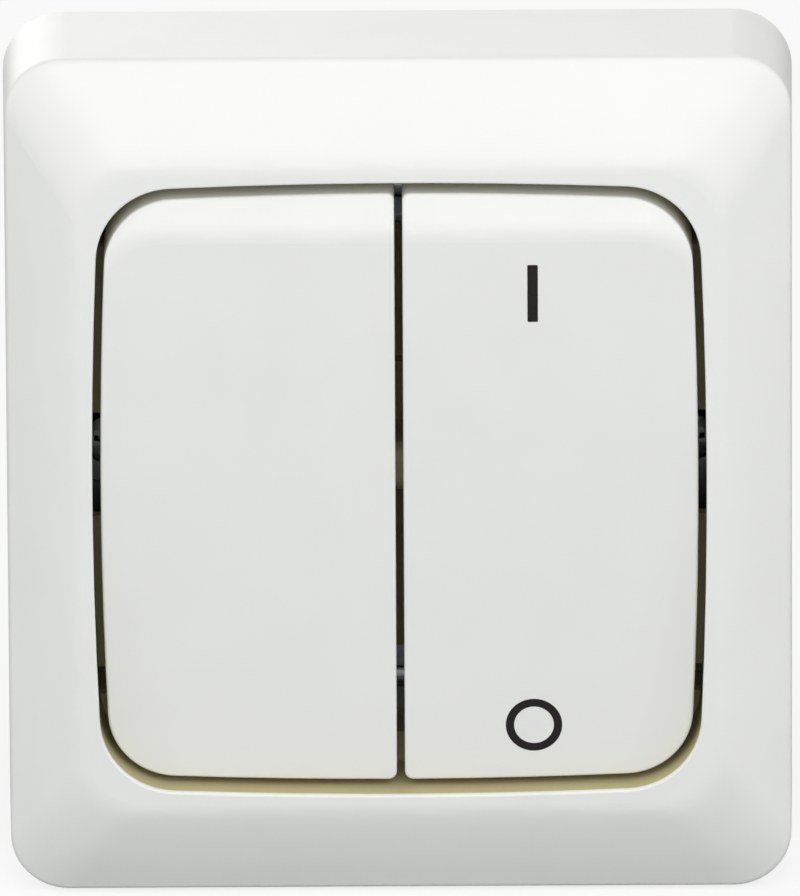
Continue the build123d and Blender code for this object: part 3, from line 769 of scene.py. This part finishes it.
class WALLSWITCH_OT_stage(bpy.types.Operator):
    """Makes the pale floor, the soft studio light and the camera"""

    bl_idname = "wallswitch.stage"
    bl_label = "Stage and camera"

    def execute(self, context):
        stage = context.scene.switch_stage
        self.floor(context, stage)
        self.surroundings(context, stage)
        self.lamp(context, "key_light", stage.key, size=0.6, azimuth=5, elevation=36, distance=0.62)
        self.lamp(context, "left_light", stage.side, size=0.5, azimuth=-78, elevation=12, distance=0.8)
        self.lamp(context, "right_light", stage.side, size=0.5, azimuth=78, elevation=12, distance=0.8)
        self.lamp(context, "back_light", stage.back, size=0.7, azimuth=200, elevation=12, distance=1.0)
        self.camera(context, stage)
        context.scene.view_settings.view_transform = "Standard"
        return {"FINISHED"}

    def floor(self, context, stage):
        """A large pale floor just under the cover's lower edge.

        It looks nearly white to the camera and keeps a shadow, but throws back only a dimmer light.
        """
        bm = bmesh.new()
        bmesh.ops.create_grid(bm, x_segments=1, y_segments=1, size=FLOOR_REACH)
        bmesh.ops.translate(bm, vec=(0, 0, CAD_BOX[0].z - FLOOR_DROP), verts=bm.verts)
        mesh = bpy.data.meshes.new("floor")
        bm.to_mesh(mesh)
        bm.free()
        matt = {"Roughness": 0.9, "Specular IOR Level": 0.0}
        material, tree, shader, place = surface("studio_floor", matt)
        clouds = grain(tree, place, size=60)
        tones = {"Fac": clouds, "Color1": shaded(stage.floor), "Color2": shaded(stage.floor, 0.01)}
        pale = add(tree, "ShaderNodeMixRGB", tones).outputs["Color"]
        seen = add(tree, "ShaderNodeLightPath").outputs["Is Camera Ray"]
        by_ray = {"Fac": seen, "Color1": shaded(stage.floor_bounce), "Color2": pale}
        mixed = add(tree, "ShaderNodeMixRGB", by_ray)
        tree.links.new(mixed.outputs["Color"], shader.inputs["Base Color"])
        glow = add(tree, "ShaderNodeEmission", WHITE_LIGHT).outputs["Emission"]
        share = add(tree, "ShaderNodeMath", {0: seen, 1: FLOOR_WHITENESS}, operation="MULTIPLY")
        blend = {0: share.outputs[0], 1: shader.outputs["BSDF"], 2: glow}
        both = add(tree, "ShaderNodeMixShader", blend)
        tree.links.new(both.outputs["Shader"], tree.nodes["Material Output"].inputs["Surface"])
        mesh.materials.append(material)
        floor = bpy.data.objects.new("floor", mesh)
        context.collection.objects.link(floor)

    def surroundings(self, context, stage):
        """An even pale surround: white where it is seen or reflected, dimmer where it lights."""
        world = bpy.data.worlds.new("studio")
        world.use_nodes = True
        tree = world.node_tree
        rays = add(tree, "ShaderNodeLightPath").outputs
        seen = rays["Is Camera Ray"]
        for kind in ("Is Glossy Ray", "Is Transmission Ray"):
            seen = add(tree, "ShaderNodeMath", {0: seen, 1: rays[kind]}, operation="MAXIMUM").outputs[0]
        cool = {"Color": shaded(stage.ambient_colour), "Strength": stage.ambient}
        light = add(tree, "ShaderNodeBackground", cool).outputs["Background"]
        white = add(tree, "ShaderNodeBackground", WHITE_LIGHT).outputs["Background"]
        both = add(tree, "ShaderNodeMixShader", {0: seen, 1: light, 2: white})
        tree.links.new(both.outputs["Shader"], tree.nodes["World Output"].inputs["Surface"])
        context.scene.world = world

    def lamp(self, context, name, power, size, azimuth, elevation, distance):
        """A square soft lamp that looks at the switch from an angle in degrees."""
        light = bpy.data.lights.new(name, "AREA")
        light.energy = power
        light.size = size
        turned, raised = math.radians(azimuth), math.radians(elevation)
        level = math.cos(raised)
        away = Vector((math.sin(turned) * level, -math.cos(turned) * level, math.sin(raised)))
        lamp = bpy.data.objects.new(name, light)
        lamp.matrix_world = looking_from(away, distance)
        lamp.visible_camera = False
        context.collection.objects.link(lamp)

    def camera(self, context, stage):
        """A long lens from above, framed as the photograph is."""
        data = bpy.data.cameras.new("camera")
        data.lens = data.sensor_width * stage.distance * PIXELS_PER_MM / MM / IMAGE_HEIGHT
        data.clip_end = 2 * stage.distance
        away = Vector((0, -math.cos(stage.elevation), math.sin(stage.elevation)))
        up = Vector((0, math.sin(stage.elevation), math.cos(stage.elevation)))
        pixel = MM / PIXELS_PER_MM
        right = (IMAGE_WIDTH / 2 - SEEN_X) * pixel
        target = Vector((right, -COVER_EDGE, 0)) + up * (SEEN_Y - IMAGE_HEIGHT / 2) * pixel
        camera = bpy.data.objects.new("camera", data)
        level = looking_from(away, stage.distance, target)
        camera.matrix_world = level @ Matrix.Rotation(-stage.roll, 4, "Z")
        context.collection.objects.link(camera)
        context.scene.camera = camera


STEPS = (
    WALLSWITCH_OT_white_mouldings,
    WALLSWITCH_OT_marks,
    WALLSWITCH_OT_carrier_parts,
    WALLSWITCH_OT_box_screws,
    WALLSWITCH_OT_housing,
    WALLSWITCH_OT_mechanism,
    WALLSWITCH_OT_springs,
    WALLSWITCH_OT_contact_facings,
    WALLSWITCH_OT_terminals,
    WALLSWITCH_OT_stage,
)


class WALLSWITCH_PT_steps(bpy.types.Panel):
    """Lists the steps that dress the wall switch, and its sizes and colours"""

    bl_idname = "WALLSWITCH_PT_steps"
    bl_label = "Wall switch"
    bl_space_type = "VIEW_3D"
    bl_region_type = "UI"
    bl_category = "Wall switch"

    def draw(self, context):
        for step in STEPS:
            self.layout.operator(step.bl_idname)
        for scene_name in GROUPS:
            group = getattr(context.scene, scene_name)
            box = self.layout.box()
            for name in group.__annotations__:
                box.prop(group, name)


GROUPS = {"switch_sizes": SwitchSizes, "switch_colours": SwitchColours, "switch_stage": SwitchStage}


def register():
    """Registers the groups of sizes and colours, the steps and the panel."""
    for name, group in GROUPS.items():
        bpy.utils.register_class(group)
        setattr(bpy.types.Scene, name, bpy.props.PointerProperty(type=group))
    for cls in (*STEPS, WALLSWITCH_PT_steps):
        bpy.utils.register_class(cls)


def unregister():
    """Removes all that register adds, in the opposite order."""
    for cls in (WALLSWITCH_PT_steps, *reversed(STEPS)):
        bpy.utils.unregister_class(cls)
    for name, group in reversed(GROUPS.items()):
        delattr(bpy.types.Scene, name)
        bpy.utils.unregister_class(group)


def main():
    """Registers the add-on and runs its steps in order."""
    register()
    bpy.ops.wallswitch.white_mouldings()
    bpy.ops.wallswitch.marks()
    bpy.ops.wallswitch.carrier_parts()
    bpy.ops.wallswitch.box_screws()
    bpy.ops.wallswitch.housing()
    bpy.ops.wallswitch.mechanism()
    bpy.ops.wallswitch.springs()
    bpy.ops.wallswitch.contact_facings()
    bpy.ops.wallswitch.terminals()
    bpy.ops.wallswitch.stage()


if __name__ == "__main__":
    main()
